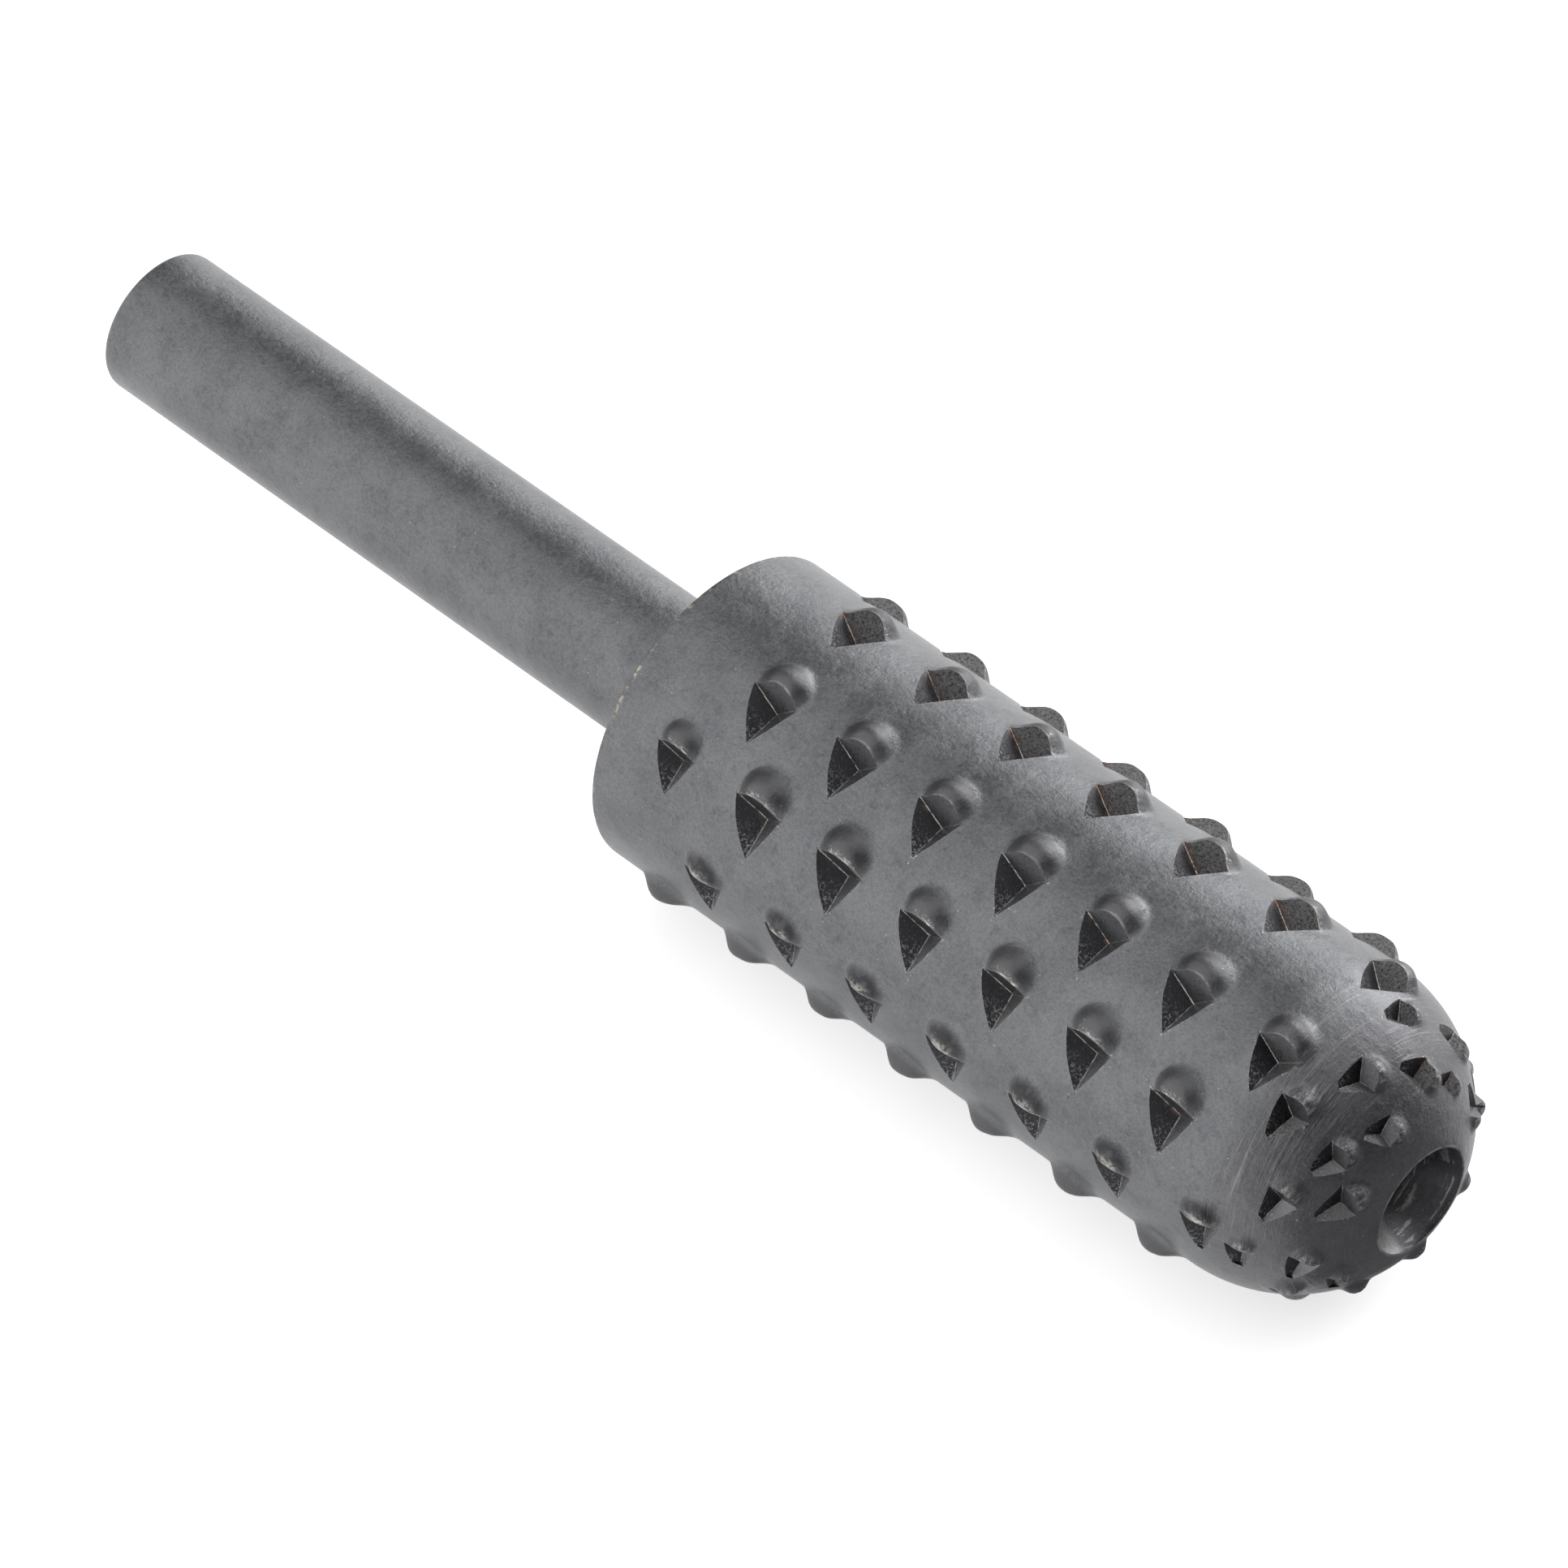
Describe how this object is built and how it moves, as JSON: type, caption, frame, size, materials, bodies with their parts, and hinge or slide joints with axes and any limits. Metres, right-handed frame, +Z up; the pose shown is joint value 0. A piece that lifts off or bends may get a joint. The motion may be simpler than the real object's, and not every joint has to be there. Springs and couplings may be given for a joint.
{
  "type": "rotary rasp",
  "caption": "Round-nosed rotary rasp for a drill: a plain round shank and a thicker cylindrical head punched with rows of raised teeth.",
  "frame": {"origin": "on the axis, at the shoulder where the shank meets the head", "axes": "+X along the axis toward the ball nose, +Z up with the rasp lying on the tips of two rows of teeth"},
  "size_m": [0.0659, 0.0144, 0.0139],
  "materials": {
    "blackened_steel": "dark grey phosphated steel, satin, glossier in the punched pits"
  },
  "bodies": {
    "root": {"rasp": "blackened_steel"}
  },
  "joints": []
}
